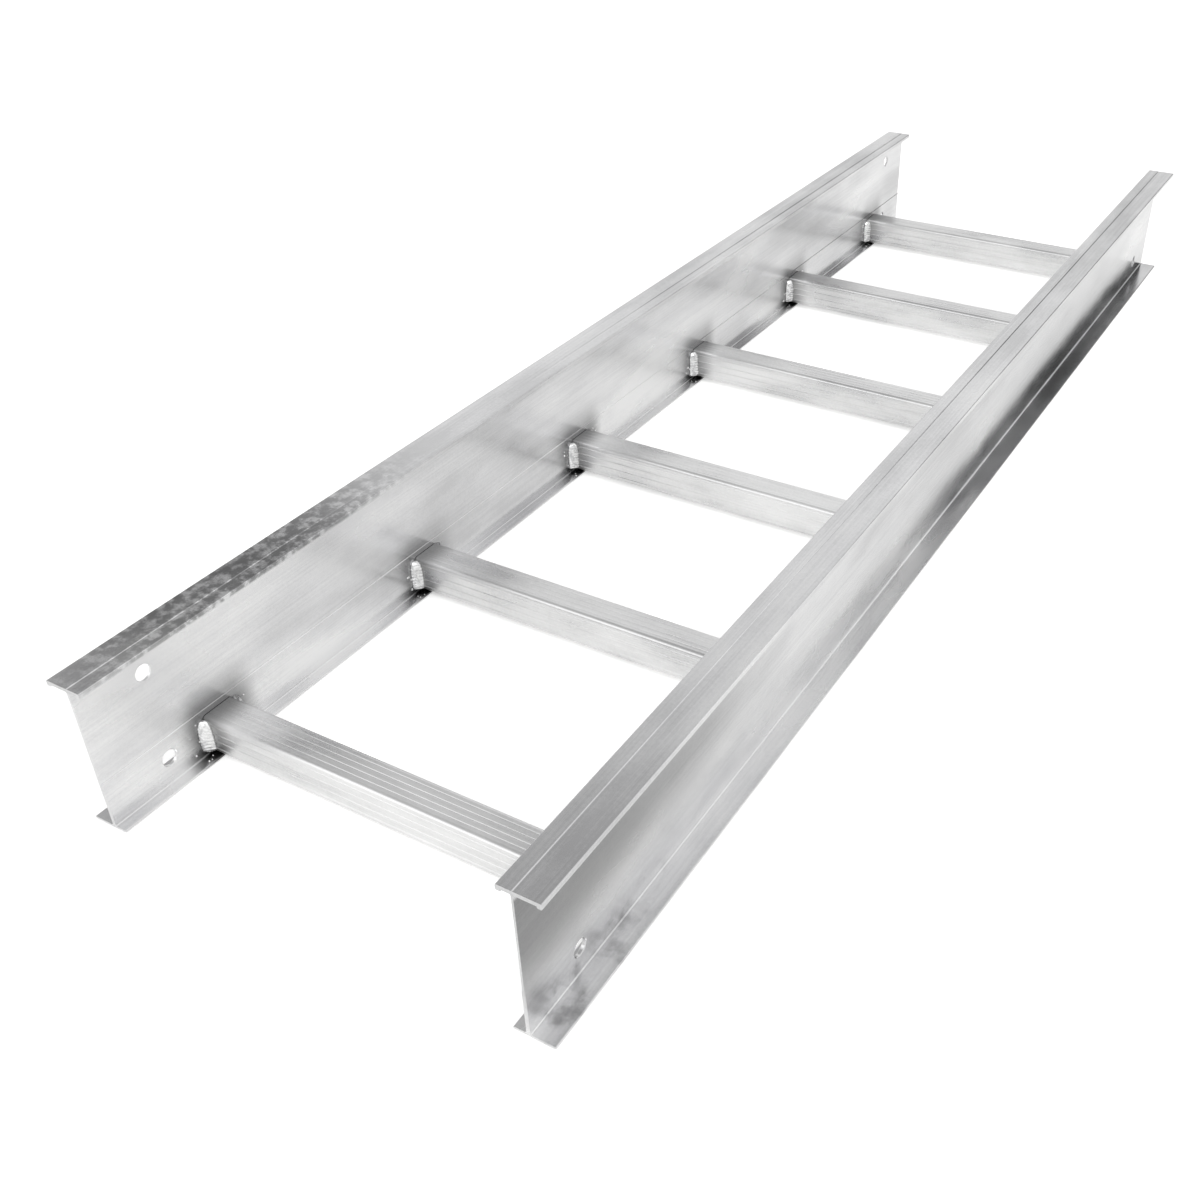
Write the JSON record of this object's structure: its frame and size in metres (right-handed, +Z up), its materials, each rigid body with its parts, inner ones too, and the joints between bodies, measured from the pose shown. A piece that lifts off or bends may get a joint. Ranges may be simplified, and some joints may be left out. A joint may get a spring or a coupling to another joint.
{
  "type": "cable ladder section",
  "caption": "Straight ladder-type cable tray: two tall I-section aluminium side rails joined by welded rectangular tube rungs, with splice holes at the rail ends.",
  "frame": {"origin": "centre of the section's footprint, on the underside of the bottom flanges", "axes": "+X from the left rail to the right rail, +Y along the rails away from the first rung's end, +Z up from the bottom flanges to the top flanges"},
  "size_m": [0.3388, 1.2192, 0.107],
  "materials": {
    "rail_alloy": "mill finish with lengthwise die lines and soft handling smudges",
    "rung_alloy": "mill finish, ribbed sides, fine lengthwise lines",
    "weld_metal": "bright rippled weld bead"
  },
  "bodies": {
    "root": {"side_rail_left": "rail_alloy", "side_rail_right": "rail_alloy", "rung_1": "rung_alloy", "rung_2": "rung_alloy", "rung_3": "rung_alloy", "rung_4": "rung_alloy", "rung_5": "rung_alloy", "rung_6": "rung_alloy", "welds_1": "weld_metal", "welds_2": "weld_metal", "welds_3": "weld_metal", "welds_4": "weld_metal", "welds_5": "weld_metal", "welds_6": "weld_metal"}
  },
  "joints": []
}
